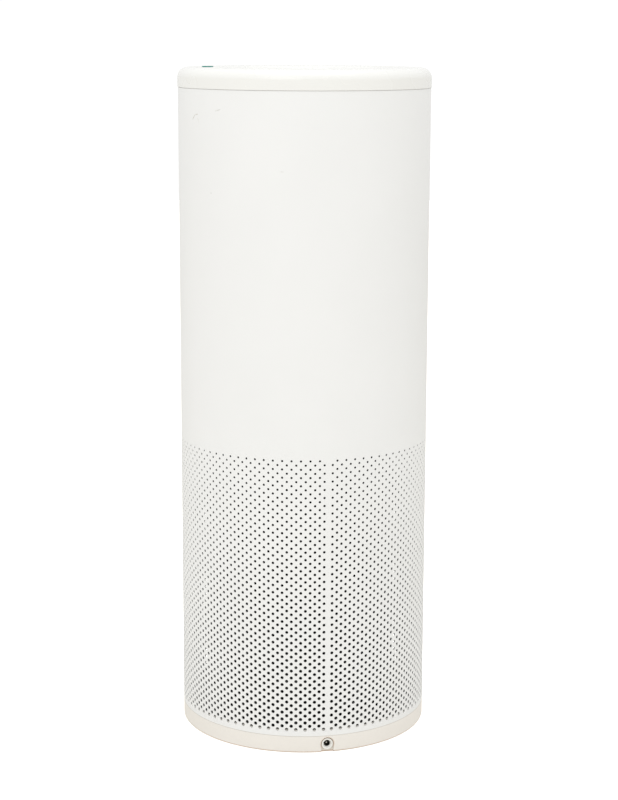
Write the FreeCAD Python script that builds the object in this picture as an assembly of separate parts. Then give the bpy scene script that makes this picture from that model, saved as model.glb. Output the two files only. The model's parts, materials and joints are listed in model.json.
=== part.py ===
import FreeCAD, Part
import math
import os

# Cylindrical tower air purifier, in millimetres.
# Origin: centre of the floor circle. +Z up. The power jack and the sheet's seam face -Y.
# Air enters through the perforated lower sheet, passes the ring-shaped filter, is drawn up
# by the fan and leaves through the grille inside the top rim.

V = FreeCAD.Vector
UP = V(0, 0, 1)
DOWN = V(0, 0, -1)

# ---- Driving dimensions ------------------------------------------------------------------
BODY_R = 123.0            # outside of the rolled sheet and of the base ring
SHEET_T = 0.8
SHEET_LOW = 17.7
SHEET_HIGH = 636.7
SKIN_GAP = 0.5            # between the sheet and the frames that it wraps
MOVE_GAP = 0.3            # between faces that part when something moves
PARTING_GAP = 0.3         # line between sheet and cap

# Base ring: an upside-down channel that carries the feet and the power jack.
BASE_LOW = 0.6
BASE_EDGE_R = 1.6
BASE_WALL = 2.8
BASE_DECK_T = 1.5
CHANNEL_W = 17.0          # from the outside of the base ring to its opening
INNER_WALL = 2.5
COLLAR_T = 2.5
COLLAR_HIGH = 23.8
LIP_W = 12.0
LIP_T = 2.5
FOOT_T = 2.2
FOOT_W = 7.0
FOOT_ARC = 12.0           # degrees
FOOT_ANGLES = [0, 60, 120, 180, 240, 300]
PAD_ARC = 16.0
BASE_SCREW_ANGLES = [30, 150, 210, 330]

# Power jack: 5.5 mm barrel, 2.1 mm pin.
JACK_Z = 9.0
JACK_RECESS = 0.5
NOTCH_W = 12.2
NOTCH_RISE = 0.5          # the notch's round top is this much above the jack's axis
JACK_FACE_R = 5.6
JACK_BODY_R = 4.8
JACK_LENGTH = 13.4
JACK_BORE_R = 2.85
JACK_SLEEVE_T = 0.25
JACK_BORE_DEPTH = 9.2     # beyond the cone-shaped mouth
JACK_MOUTH_R = 4.2
JACK_MOUTH_DEPTH = 2.4
JACK_PIN_R = 1.0
JACK_PIN_LENGTH = 7.6
JACK_PIN_NOSE = 0.4
HOLDER_T = 3.0            # wall inside the base ring that holds the jack
HOLDER_W = 18.0
PRESS_CLEAR = 0.05

# Bottom cover and filter.
COVER_LOW = 2.5
COVER_T = 4.0
COVER_CLEAR = 0.6
GRIP_R = 38.0
GRIP_DEPTH = 15.0
GRIP_WALL = 2.0
GRIP_BAR_W = 20.0
GRIP_BAR_T = 7.0
MAGNET_R = 4.0
MAGNET_T = 2.0
KEEPER_T = 1.5
FILTER_CLEAR = 2.5
FILTER_DEPTH = 33.5
FILTER_CAP_T = 6.0
PLEATS = 60
PLEAT_T = 1.4
WRAP_GAP = 0.25
CARBON_T = 1.6
MESH_T = 0.8
CORE_T = 2.0
GASKET_T = 3.7
GASKET_W = 10.0

# Intake cage, fan deck and duct.
CAGE_RIBS = 24
CAGE_RIB_W = 3.0
CAGE_DEPTH = 6.5
CAGE_RING_T = 3.0
CAGE_RINGS = 6
DECK_Z = 322.0
DECK_T = 4.0
DECK_SCREW_L = 14.0
LINER_T = 2.5
LINER_FLANGE_T = 4.0
FRAME_SCREW_INSET = 10.2
BELL_R = 8.0
BELL_HIGH = 16.0
THROAT_WALL = 2.5

# Fan and motor.
FAN_GAP = 21.2
FAN_INLET_CLEAR = 1.5
FAN_BLADES = 11
BLADE_T = 2.0
FAN_LOW = 335.0
FAN_HIGH = 395.0
FAN_SHROUD_RISE = 16.0
FAN_SKIN = 2.2
FAN_HUB_R = 10.0
SHAFT_R = 3.0
SHAFT_RUNNING_CLEAR = 0.03
BEARING_R = 7.5
BEARING_T = 5.0
BELL_PLATE_Z = 397.0
ROTOR_R = 32.0
ROTOR_WALL = 2.0
ROTOR_HIGH = 424.0
ROTOR_MAGNET_T = 2.0
AIR_GAP = 0.7
STATOR_TEETH = 9
TUBE_R = 10.0
MOUNT_Z = 426.0
MOUNT_T = 4.0
MOUNT_R = 50.0
DAMPER_T = 6.0
DAMPER_R = 5.0
DAMPER_CIRCLE_R = 42.0

# Diffuser, funnel, grille.
CUP_R = 60.0
CUP_WALL = 2.5
CUP_LOW = 400.0
VANES = 11
VANE_T = 2.0
VANE_LOW = 410.0
VANE_HIGH = 470.0
VANE_SWEEP = 20.0
VANE_FIRST = -122.0
NOSE_RISE = 46.0
FUNNEL_WALL = 2.0
FUNNEL_FOOT = 10.0
FLANGE_RING_T = 3.0
LEDGE_W = 1.6
OUTLET_DEPTH = 31.0       # from the cap's top down to the funnel's flange
FUNNEL_NECK = 25.0
GRILLE_FINS = 30
FIN_T = 1.4
FIN_SWEEP = 24.0
GRILLE_RING_T = 2.0
GRILLE_T = 14.0
GRILLE_HUB_R = 22.0

# Top cap and keys.
CAP_RISE = 19.3           # from the top of the sheet to the top of the cap
CAP_OVERHANG = 0.5
CAP_CORNER_R = 10.0
CAP_WALL = 3.0
RIM_W = 43.5              # from the outside of the cap to the crest of its inner edge
RIM_INNER_R = 8.0
SEAM_GAP = 0.15           # between the cap's plate and the rim ring let into it
EDGE_BREAK = 0.3
KEY_RING_INSET = 28.5
KEY_STEP = 15.0           # degrees between neighbouring keys
POWER_KEY_R = 5.5
SIDE_KEY_R = 4.5
POWER_KEY_PROUD = 1.0
SIDE_KEY_PROUD = 0.3
KEY_CLEAR = 0.3
KEY_FLANGE = 1.6
KEY_FLANGE_T = 1.5
KEY_TRAVEL = 0.8
DOME_HIGH = 4.2
DOME_FOOT_R = 5.4
DOME_TOP_R = 3.2
DOME_WALL = 0.8
BOARD_T = 1.6
PANEL_ARC = 56.0
LENS_R = 1.2

# Leads.
DC_LEAD_R = 1.7
THIN_LEAD_R = 1.2
LEAD_BEND = 12.0
LEAD_ROOM = 0.3           # round a lead where it passes through a wall
CLIP_T = 1.2
RUN_CLEAR = 7.4           # between the power lead's level run and the cone inside it
LEAD_STEP = 10.0          # from the power lead's level run up to the motor lead's
MOTOR_LEAD_INSET = 6.0

# ---- Derived sizes -----------------------------------------------------------------------
SHEET_IN = BODY_R - SHEET_T
FRAME_R = SHEET_IN - SKIN_GAP
BASE_OPEN_R = BODY_R - CHANNEL_W
COVER_R = BASE_OPEN_R - COVER_CLEAR
LIP_IN_R = BASE_OPEN_R - LIP_W
LIP_LOW = COVER_LOW + COVER_T + MOVE_GAP
FILTER_R = LIP_IN_R - FILTER_CLEAR
CORE_IN_R = FILTER_R - FILTER_DEPTH
THROAT_R = CORE_IN_R + 2.0
CAGE_IN_R = FRAME_R - CAGE_DEPTH
CAGE_RING_OUT_R = CAGE_IN_R + CAGE_RING_T
COLLAR_OUT_R = SHEET_IN - MOVE_GAP
COLLAR_IN_R = COLLAR_OUT_R - COLLAR_T
LINER_IN = FRAME_R - LINER_T
LINER_LOW = DECK_Z + DECK_T
CAP_LOW = SHEET_HIGH + PARTING_GAP
CAP_HIGH = SHEET_HIGH + CAP_RISE
CAP_R = BODY_R + CAP_OVERHANG
CREST_R = CAP_R - RIM_W
FUNNEL_FLANGE_Z = CAP_HIGH - OUTLET_DEPTH
OUTLET_R = CREST_R - 6.0
FUNNEL_FLANGE_R = LINER_IN - 7.2
KEY_RING_R = CAP_R - KEY_RING_INSET
FAN_R = LINER_IN - FAN_GAP
FRAME_SCREW_R = FRAME_R - FRAME_SCREW_INSET
LEAD_R = LINER_IN - 5.5
PANEL_BOARD_TOP = CAP_HIGH - CAP_WALL - MOVE_GAP - KEY_FLANGE_T - DOME_HIGH
SCREW_ANGLES = [45, 135, 225, 315]


# ---- Helpers -----------------------------------------------------------------------------
def polar(radius, degrees, z=0.0):
    angle = math.radians(degrees)
    return V(radius * math.cos(angle), radius * math.sin(angle), z)


def disc(radius, low, high, at=V(0, 0, 0)):
    return Part.makeCylinder(radius, high - low, V(at.x, at.y, low))


def ring(inner, outer, low, high, at=V(0, 0, 0)):
    return disc(outer, low, high, at).cut(disc(inner, low - 1, high + 1, at))


def turned(points, degrees=360.0, start=0.0):
    """Solid of revolution. A point with four numbers is an arc: its middle, then its end."""
    edges = []
    last = V(points[0][0], 0, points[0][1])
    for point in points[1:] + points[:1]:
        end = V(point[-2], 0, point[-1])
        if len(point) == 4:
            edges.append(Part.Arc(last, V(point[0], 0, point[1]), end).toShape())
        elif last.distanceToPoint(end) > 1e-6:
            edges.append(Part.LineSegment(last, end).toShape())
        last = end
    solid = Part.Face(Part.Wire(edges)).revolve(V(0, 0, 0), UP, degrees)
    solid.rotate(V(0, 0, 0), UP, start)
    return solid


def arc_mid(cx, cz, radius, degrees):
    angle = math.radians(degrees)
    return (cx + radius * math.cos(angle), cz + radius * math.sin(angle))


def arc_block(inner, outer, low, high, degrees, middle):
    points = [(inner, low), (outer, low), (outer, high), (inner, high)]
    return turned(points, degrees, middle - degrees / 2)


def block(low, high):
    return Part.makeBox(high.x - low.x, high.y - low.y, high.z - low.z, low)


def radial_block(inner, outer, width, low, high, degrees):
    shape = block(V(inner, -width / 2, low), V(outer, width / 2, high))
    shape.rotate(V(0, 0, 0), UP, degrees)
    return shape


def fused(first, others):
    return first.multiFuse(others).removeSplitter()


def screw(at, shank_r, head_r, head_t, length, up=True):
    """Pan-head screw. `at` is the middle of the face that the head bears on."""
    way = UP if up else DOWN
    shank = Part.makeCylinder(shank_r, length, at, way)
    head = Part.makeCylinder(head_r, head_t, at, way * -1)
    socket = Part.makeCylinder(head_r * 0.45, head_t * 0.6, at - way * head_t, way)
    return shank.fuse(head).removeSplitter().cut(socket)


def curved_band(r_in, r_out, first, sweep, thickness, low, high):
    """Upright blade that leans back by `sweep` degrees between two radii."""
    steps = 3
    middle = []
    for step in range(steps):
        share = step / (steps - 1)
        middle.append(polar(r_in + share * (r_out - r_in), first + sweep * share ** 1.3))
    side = []
    for sign in (1, -1):
        row = []
        for index, point in enumerate(middle):
            near = middle[max(index - 1, 0)]
            far = middle[min(index + 1, steps - 1)]
            along = (far - near).normalize()
            row.append(point + V(-along.y, along.x, 0) * (sign * thickness / 2))
        side.append(row)
    left = Part.Arc(side[0][0], side[0][1], side[0][2]).toShape()
    right = Part.Arc(side[1][2], side[1][1], side[1][0]).toShape()
    end = Part.LineSegment(side[0][2], side[1][2]).toShape()
    start = Part.LineSegment(side[1][0], side[0][0]).toShape()
    face = Part.Face(Part.Wire([left, end, right, start]))
    face.translate(V(0, 0, low))
    return face.extrude(V(0, 0, high - low))


def tube_along(points, bends, radius, name):
    """Round lead along straight runs joined by tangent arcs."""
    edges = []
    last = points[0]
    for index in range(1, len(points) - 1):
        corner = points[index]
        back = (points[index - 1] - corner).normalize()
        ahead = (points[index + 1] - corner).normalize()
        turn = math.pi - back.getAngle(ahead)
        bend = bends[index - 1]
        reach = bend * math.tan(turn / 2)
        start = corner + back * reach
        end = corner + ahead * reach
        inward = (back + ahead).normalize()
        middle = corner + inward * (bend / math.cos(turn / 2) - bend)
        edges.append(Part.LineSegment(last, start).toShape())
        edges.append(Part.Arc(start, middle, end).toShape())
        last = end
    edges.append(Part.LineSegment(last, points[-1]).toShape())
    wire = Part.Wire(edges)
    length = wire.Length
    first = (points[1] - points[0]).normalize()
    section = Part.Wire(Part.Circle(points[0], first, radius).toShape())
    tube = wire.makePipeShell([section], True, True)
    share = tube.Volume / (math.pi * radius ** 2 * length)
    print(f"{name}: bends {bends} mm, length {length:.1f} mm, volume / (section x length) {share:.4f}")
    return tube


def save(name, shape):
    solids = shape.Solids
    out = solids[0] if len(solids) == 1 else Part.Compound(solids)
    out.exportStep(f"parts/{name}.step")
    print(f"{name}: {len(solids)} solid(s), {shape.Volume / 1000:.2f} cm3")


# ---- Outer sheet -------------------------------------------------------------------------
def body_shell():
    """Rolled sheet. Its lower half's 6,000 small holes are not cut in the solid."""
    return ring(SHEET_IN, BODY_R, SHEET_LOW, SHEET_HIGH)


# ---- Base --------------------------------------------------------------------------------
def base_ring():
    deck = SHEET_LOW - BASE_DECK_T
    outer_in = BODY_R - BASE_WALL
    inner_out = BASE_OPEN_R + INNER_WALL
    mid = arc_mid(BODY_R - BASE_EDGE_R, BASE_LOW + BASE_EDGE_R, BASE_EDGE_R, -45)
    shape = turned([
        (LIP_IN_R, LIP_LOW), (BASE_OPEN_R, LIP_LOW), (BASE_OPEN_R, BASE_LOW), (inner_out, BASE_LOW),
        (inner_out, deck), (outer_in, deck), (outer_in, BASE_LOW), (BODY_R - BASE_EDGE_R, BASE_LOW),
        (mid[0], mid[1], BODY_R, BASE_LOW + BASE_EDGE_R), (BODY_R, SHEET_LOW),
        (COLLAR_OUT_R, SHEET_LOW), (COLLAR_OUT_R, COLLAR_HIGH), (COLLAR_IN_R, COLLAR_HIGH),
        (COLLAR_IN_R, SHEET_LOW), (BASE_OPEN_R, SHEET_LOW), (BASE_OPEN_R, LIP_LOW + LIP_T),
        (LIP_IN_R, LIP_LOW + LIP_T)])
    pads = [arc_block(inner_out - 0.5, outer_in + 0.5, BASE_LOW, deck + 0.5, PAD_ARC, a)
            for a in FOOT_ANGLES]
    shape = fused(shape, pads)
    wall_in = -outer_in
    holder = block(V(-HOLDER_W / 2, wall_in, BASE_LOW), V(HOLDER_W / 2, wall_in + HOLDER_T, deck + 0.5))
    shape = fused(shape, [holder])
    notch_r = NOTCH_W / 2
    notch_z = JACK_Z + NOTCH_RISE
    notch_out = wall_in - BASE_WALL - 1
    cuts = [Part.makeCylinder(notch_r, wall_in - notch_out, V(0, notch_out, notch_z), V(0, 1, 0)),
            block(V(-notch_r, notch_out, BASE_LOW - 1), V(notch_r, wall_in, notch_z)),
            along_y(JACK_BODY_R + PRESS_CLEAR, wall_in - 1, HOLDER_T + 2)]
    foot_mid = foot_circle()
    for angle in FOOT_ANGLES:
        cuts.append(arc_block(foot_mid - FOOT_W / 2, foot_mid + FOOT_W / 2, BASE_LOW - 1, FOOT_T,
                              FOOT_ARC, angle))
    for angle in BASE_SCREW_ANGLES:
        cuts.append(disc(1.7, deck - 1, SHEET_LOW + 1, polar(base_screw_circle(), angle)))
        cuts.append(disc(MAGNET_R + PRESS_CLEAR, LIP_LOW - 1, LIP_LOW + KEEPER_T,
                         polar(magnet_circle(), angle)))
    cuts.append(disc(DC_LEAD_R + LEAD_ROOM, deck - 1, SHEET_LOW + 1, V(0, -LEAD_R, 0)))
    return shape.cut(Part.Compound(cuts))


def foot_circle():
    return (BODY_R - BASE_WALL + BASE_OPEN_R + INNER_WALL) / 2


def base_screw_circle():
    return foot_circle()


def magnet_circle():
    return BASE_OPEN_R - LIP_W / 2


def rubber_feet():
    middle = foot_circle()
    return Part.Compound([arc_block(middle - FOOT_W / 2, middle + FOOT_W / 2, 0, FOOT_T, FOOT_ARC, a)
                          for a in FOOT_ANGLES])


def base_screws():
    deck = SHEET_LOW - BASE_DECK_T
    return Part.Compound([screw(polar(base_screw_circle(), a, deck), 1.5, 2.9, 2.2, 9.0)
                          for a in BASE_SCREW_ANGLES])


def keeper_plates():
    return Part.Compound([disc(MAGNET_R, LIP_LOW, LIP_LOW + KEEPER_T, polar(magnet_circle(), a))
                          for a in BASE_SCREW_ANGLES])


# ---- Power jack --------------------------------------------------------------------------
def jack_face_y():
    return -(BODY_R - JACK_RECESS)


def along_y(radius, start, length):
    return Part.makeCylinder(radius, length, V(0, start, JACK_Z), V(0, 1, 0))


def jack_depth():
    return JACK_MOUTH_DEPTH + JACK_BORE_DEPTH


def jack_body():
    face = jack_face_y()
    mouth_r = JACK_BORE_R + JACK_SLEEVE_T
    flange = along_y(JACK_FACE_R, face, BASE_WALL - JACK_RECESS)
    body = flange.fuse(along_y(JACK_BODY_R, face, JACK_LENGTH))
    bore = along_y(mouth_r, face - 1, jack_depth() + 1)
    mouth = Part.makeCone(JACK_MOUTH_R, mouth_r, JACK_MOUTH_DEPTH, V(0, face, JACK_Z), V(0, 1, 0))
    socket = along_y(JACK_PIN_R, face, JACK_LENGTH + 1)
    return body.removeSplitter().cut(Part.Compound([bore, mouth, socket]))


def jack_sleeve():
    start = jack_face_y() + JACK_MOUTH_DEPTH
    outer = along_y(JACK_BORE_R + JACK_SLEEVE_T, start, JACK_BORE_DEPTH)
    return outer.cut(along_y(JACK_BORE_R, start - 1, JACK_BORE_DEPTH + 2))


def jack_pin():
    end = jack_face_y() + JACK_LENGTH
    start = jack_face_y() + jack_depth() - JACK_PIN_LENGTH
    nose = JACK_PIN_NOSE
    pin = along_y(JACK_PIN_R, start + nose, end - start - nose)
    tip = Part.makeCone(JACK_PIN_R - nose, JACK_PIN_R, nose, V(0, start, JACK_Z), V(0, 1, 0))
    return pin.fuse(tip).removeSplitter()


def jack_board():
    start = -(BODY_R - BASE_WALL - HOLDER_T) + PRESS_CLEAR
    end = jack_face_y() + JACK_LENGTH
    low = JACK_Z + JACK_BODY_R
    return block(V(-HOLDER_W / 2, start, low), V(HOLDER_W / 2, end, low + BOARD_T))


# ---- Bottom cover and filter -------------------------------------------------------------
def bottom_cover():
    low = COVER_LOW
    high = COVER_LOW + COVER_T
    cup_top = low + GRIP_DEPTH
    plate = turned([(0, low), (COVER_R - 1, low), (COVER_R, low + 1), (COVER_R, high), (0, high)])
    cup = disc(GRIP_R, low + 0.5, cup_top)
    hollow = disc(GRIP_R - GRIP_WALL, low - 1, cup_top - GRIP_WALL)
    bar = block(V(-GRIP_R, -GRIP_BAR_W / 2, low), V(GRIP_R, GRIP_BAR_W / 2, low + GRIP_BAR_T))
    bar = bar.common(disc(GRIP_R - GRIP_WALL / 2, low, cup_top))
    edges = [edge for edge in bar.Edges if abs(edge.BoundBox.XLength) > GRIP_R]
    bar = bar.makeFillet(2.0, edges)
    shape = fused(fused(plate, [cup]).cut(hollow), [bar])
    ribs_high = filter_low()
    seat_r = FILTER_R - 6
    ribs = [ring(seat_r - 3, seat_r, high - 0.5, ribs_high)]
    shape = fused(shape, ribs)
    pockets = [disc(MAGNET_R + PRESS_CLEAR, high - MAGNET_T, high + 1, polar(magnet_circle(), a))
               for a in BASE_SCREW_ANGLES]
    return shape.cut(Part.Compound(pockets))


def cover_magnets():
    high = COVER_LOW + COVER_T
    return Part.Compound([disc(MAGNET_R, high - MAGNET_T, high, polar(magnet_circle(), a))
                          for a in BASE_SCREW_ANGLES])


def filter_low():
    return COVER_LOW + GRIP_DEPTH


def media_low():
    return filter_low() + FILTER_CAP_T


def media_high():
    return DECK_Z - MOVE_GAP - GASKET_T - FILTER_CAP_T


def filter_cap(low, solid_floor):
    high = low + FILTER_CAP_T
    chamfer = 1.5
    points = [(CORE_IN_R, low), (FILTER_R - chamfer, low), (FILTER_R, low + chamfer),
              (FILTER_R, high - chamfer), (FILTER_R - chamfer, high), (CORE_IN_R, high)]
    shape = turned(points)
    if solid_floor:
        shape = fused(shape, [disc(CORE_IN_R + 0.5, low, high)])
    return shape


def filter_media():
    outer_r = FILTER_R - MESH_T - CARBON_T - 3 * WRAP_GAP
    inner_r = CORE_IN_R + CORE_T + WRAP_GAP
    radial_t = PLEAT_T * 2.2
    outer = []
    inner = []
    for index in range(2 * PLEATS):
        angle = 180.0 / PLEATS * index
        crest = index % 2 == 0
        outer.append(polar(outer_r if crest else inner_r + radial_t, angle, media_low()))
        inner.append(polar(outer_r - radial_t if crest else inner_r, angle, media_low()))
    loops = [Part.makePolygon(loop + loop[:1]) for loop in (outer, inner)]
    face = Part.makeFace(loops, "Part::FaceMakerBullseye")
    return face.extrude(V(0, 0, media_high() - media_low()))


def carbon_layer():
    outer = FILTER_R - MESH_T - WRAP_GAP
    return ring(outer - CARBON_T, outer, media_low(), media_high())


def prefilter_mesh():
    return ring(FILTER_R - MESH_T, FILTER_R, media_low(), media_high())


def filter_core():
    """Inner tube of the filter. Its slots are not cut in the solid."""
    return ring(CORE_IN_R, CORE_IN_R + CORE_T, media_low(), media_high())


def filter_gasket():
    low = media_high() + FILTER_CAP_T
    inner = CORE_IN_R + 4 + BELL_R
    return ring(inner, inner + GASKET_W, low, low + GASKET_T)


# ---- Intake cage, fan deck, duct ---------------------------------------------------------
def lead_hole(low, high):
    return disc(DC_LEAD_R + LEAD_ROOM, low, high, V(0, -LEAD_R, 0))


def cage_foot_high():
    return COLLAR_HIGH + CAGE_RING_T


def cage_foot():
    shape = ring(BASE_OPEN_R + 1, COLLAR_IN_R - 0.4, SHEET_LOW, cage_foot_high())
    deck = SHEET_LOW - BASE_DECK_T
    cuts = [disc(1.5, deck, deck + 9.0, polar(base_screw_circle(), a)) for a in BASE_SCREW_ANGLES]
    cuts.append(lead_hole(SHEET_LOW - 1, cage_foot_high() + 1))
    return shape.cut(Part.Compound(cuts))


def cage_hoop_levels():
    low = cage_foot_high()
    span = DECK_Z - low
    return [low + span * k / (CAGE_RINGS + 1) for k in range(1, CAGE_RINGS + 1)]


def cage_staves():
    """Uprights between the foot and the fan deck, notched where the hoops are let in."""
    notches = [ring(CAGE_IN_R - 1, CAGE_RING_OUT_R, z, z + CAGE_RING_T) for z in cage_hoop_levels()]
    notches.append(disc(DC_LEAD_R + CLIP_T, COLLAR_HIGH, DECK_Z, V(0, -LEAD_R, 0)))
    notches = Part.Compound(notches)
    staves = [radial_block(CAGE_IN_R, FRAME_R - 0.02, CAGE_RIB_W, cage_foot_high(), DECK_Z,
                           -90 + 360 / CAGE_RIBS * k).cut(notches) for k in range(CAGE_RIBS)]
    return Part.Compound(staves)


def cage_hoops():
    clear = disc(DC_LEAD_R + CLIP_T, COLLAR_HIGH, DECK_Z, V(0, -LEAD_R, 0))
    return Part.Compound([ring(CAGE_IN_R, CAGE_RING_OUT_R, z, z + CAGE_RING_T).cut(clear)
                          for z in cage_hoop_levels()])


def fan_deck():
    high = DECK_Z + DECK_T
    throat_out = THROAT_R + THROAT_WALL
    bell_z = DECK_Z + BELL_R
    mid = arc_mid(THROAT_R + BELL_R, bell_z, BELL_R, 225)
    shape = turned([
        (THROAT_R + BELL_R, DECK_Z), (FRAME_R, DECK_Z), (FRAME_R, high),
        (throat_out + BELL_R, high), (throat_out, bell_z + 2), (throat_out, DECK_Z + BELL_HIGH),
        (THROAT_R, DECK_Z + BELL_HIGH), (THROAT_R, bell_z),
        (mid[0], mid[1], THROAT_R + BELL_R, DECK_Z)])
    cuts = [disc(2.1, DECK_Z - 1, high + 1, polar(FRAME_SCREW_R, a)) for a in SCREW_ANGLES]
    cuts.append(lead_hole(DECK_Z - 1, high + 1))
    return shape.cut(Part.Compound(cuts))


def deck_screws():
    return Part.Compound([screw(polar(FRAME_SCREW_R, a, DECK_Z), 2.0, 3.6, 2.6, DECK_SCREW_L)
                          for a in SCREW_ANGLES])


def board_x():
    return -(LINER_IN - 15.0)


def board_z():
    high = FUNNEL_FLANGE_Z - 14
    return (high - 65, high)


def board_post_spots():
    low, high = board_z()
    return [(y, z) for y in (-30, 30) for z in (low + 6, high - 6)]


def duct_liner():
    shape = ring(LINER_IN, FRAME_R, LINER_LOW, CAP_LOW)
    flange = ring(FRAME_SCREW_R - 5, LINER_IN + 0.5, LINER_LOW, LINER_LOW + LINER_FLANGE_T)
    bosses = [disc(5.0, LINER_LOW, LINER_LOW + 12, polar(FRAME_SCREW_R, a)) for a in SCREW_ANGLES]
    ledge_r = diffuser_ring_in() - 1
    ledge = turned([(ledge_r, VANE_LOW - 3), (LINER_IN + 0.5, VANE_LOW - 6),
                    (LINER_IN + 0.5, VANE_LOW), (ledge_r, VANE_LOW)])
    posts = [Part.makeCylinder(3.0, LINER_IN + board_x() + 3, V(-(LINER_IN + 1), y, z), V(1, 0, 0))
             for y, z in board_post_spots()]
    post_end = board_x() - BOARD_T
    room = disc(LINER_IN + 1, LINER_LOW, CAP_HIGH)
    room = room.common(block(V(-BODY_R, -BODY_R, LINER_LOW), V(post_end, BODY_R, CAP_HIGH)))
    trimmed = [post.common(room) for post in posts]
    shape = fused(shape, [flange, ledge] + bosses + trimmed)
    cuts = [disc(2.0, LINER_LOW - 1, DECK_Z + DECK_SCREW_L, polar(FRAME_SCREW_R, a))
            for a in SCREW_ANGLES]
    cuts += [Part.makeCylinder(1.25, 9.0, V(post_end - 8.0, y, z), V(1, 0, 0))
             for y, z in board_post_spots()]
    cuts.append(lead_hole(LINER_LOW - 1, VANE_LOW + 1))
    return shape.cut(Part.Compound(cuts))


# ---- Fan and motor -----------------------------------------------------------------------
def fan_impeller():
    inlet = THROAT_R + THROAT_WALL + FAN_INLET_CLEAR
    shroud_top = FAN_LOW + FAN_SHROUD_RISE
    shroud = turned([(inlet, FAN_LOW), (inlet + FAN_SKIN, FAN_LOW), (FAN_R, shroud_top - FAN_SKIN),
                     (FAN_R, shroud_top), (inlet, FAN_LOW + FAN_SKIN + 1)])
    back = turned([(SHAFT_R, FAN_HIGH - 16), (FAN_HUB_R, FAN_HIGH - 16), (FAN_HUB_R + 4, FAN_HIGH - 6),
                   (FAN_R, FAN_HIGH - FAN_SKIN), (FAN_R, FAN_HIGH), (SHAFT_R, FAN_HIGH)])
    room = turned([(inlet - 6, FAN_LOW + 8), (inlet + 1.2, FAN_LOW + 2.2),
                   (FAN_R - 0.3, shroud_top - 0.6), (FAN_R - 0.3, FAN_HIGH - 0.4),
                   (inlet - 6, FAN_HIGH - 0.4)])
    blades = [curved_band(inlet - 8, FAN_R + 1, 360 / FAN_BLADES * k, -26.0, BLADE_T,
                          FAN_LOW, FAN_HIGH).common(room) for k in range(FAN_BLADES)]
    return fused(shroud, blades + [back])


def motor_shaft():
    return disc(SHAFT_R, FAN_HIGH - 15, MOUNT_Z + MOUNT_T + 1)


def rotor_bell():
    wall_in = ROTOR_R - ROTOR_WALL
    plate = BELL_PLATE_Z + 3
    return turned([(SHAFT_R, FAN_HIGH), (FAN_HUB_R, FAN_HIGH), (FAN_HUB_R, BELL_PLATE_Z),
                   (ROTOR_R, BELL_PLATE_Z), (ROTOR_R, ROTOR_HIGH), (wall_in, ROTOR_HIGH),
                   (wall_in, plate), (SHAFT_R, plate)])


def rotor_magnets():
    wall_in = ROTOR_R - ROTOR_WALL
    pole = 360.0 / 8
    return Part.Compound([arc_block(wall_in - ROTOR_MAGNET_T, wall_in, BELL_PLATE_Z + 6, ROTOR_HIGH - 1,
                                    pole - 2, pole * k) for k in range(8)])


def stator_r():
    return ROTOR_R - ROTOR_WALL - ROTOR_MAGNET_T - AIR_GAP


def motor_stator():
    low = BELL_PLATE_Z + 7
    high = ROTOR_HIGH - 3
    hub = ring(TUBE_R, TUBE_R + 3.5, low, high)
    step = 360.0 / STATOR_TEETH
    teeth = [radial_block(TUBE_R + 3, stator_r() - 1.5, 3.2, low, high, step * k)
             for k in range(STATOR_TEETH)]
    shoes = [arc_block(stator_r() - 2.2, stator_r(), low, high, step - 7, step * k)
             for k in range(STATOR_TEETH)]
    return fused(hub, teeth + shoes)


def stator_windings():
    low = BELL_PLATE_Z + 7
    high = ROTOR_HIGH - 3
    step = 360.0 / STATOR_TEETH
    coils = []
    for k in range(STATOR_TEETH):
        coil = radial_block(TUBE_R + 4.2, stator_r() - 3.0, 6.2, low - 1.4, high + 1.4, step * k)
        core = radial_block(TUBE_R, stator_r(), 3.2, low, high, step * k)
        coils.append(coil.cut(core))
    return Part.Compound(coils)


def bearing_tube_low():
    return BELL_PLATE_Z + 5


def motor_bearings():
    bore = SHAFT_R + SHAFT_RUNNING_CLEAR
    low = bearing_tube_low()
    high = MOUNT_Z + MOUNT_T
    return Part.Compound([ring(bore, BEARING_R, low, low + BEARING_T),
                          ring(bore, BEARING_R, high - BEARING_T, high)])


def motor_mount():
    low = bearing_tube_low()
    high = MOUNT_Z + MOUNT_T
    shape = turned([(BEARING_R, low), (TUBE_R, low), (TUBE_R, MOUNT_Z), (MOUNT_R, MOUNT_Z),
                    (MOUNT_R, high), (BEARING_R, high), (BEARING_R, high - BEARING_T),
                    (BEARING_R - 1.5, high - BEARING_T), (BEARING_R - 1.5, low + BEARING_T),
                    (BEARING_R, low + BEARING_T)])
    cuts = [disc(2.1, MOUNT_Z - 1, high + 1, polar(DAMPER_CIRCLE_R, a)) for a in SCREW_ANGLES]
    return shape.cut(Part.Compound(cuts))


def cup_plate_z():
    return MOUNT_Z + MOUNT_T + DAMPER_T


def motor_dampers():
    low = MOUNT_Z + MOUNT_T
    return Part.Compound([ring(2.1, DAMPER_R, low, low + DAMPER_T, polar(DAMPER_CIRCLE_R, a))
                          for a in SCREW_ANGLES])


def motor_screws():
    return Part.Compound([screw(polar(DAMPER_CIRCLE_R, a, MOUNT_Z), 2.0, 3.8, 2.4,
                                MOUNT_T + DAMPER_T + 4.0) for a in SCREW_ANGLES])


def diffuser_ring_in():
    return LINER_IN - MOVE_GAP - 2.4


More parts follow.
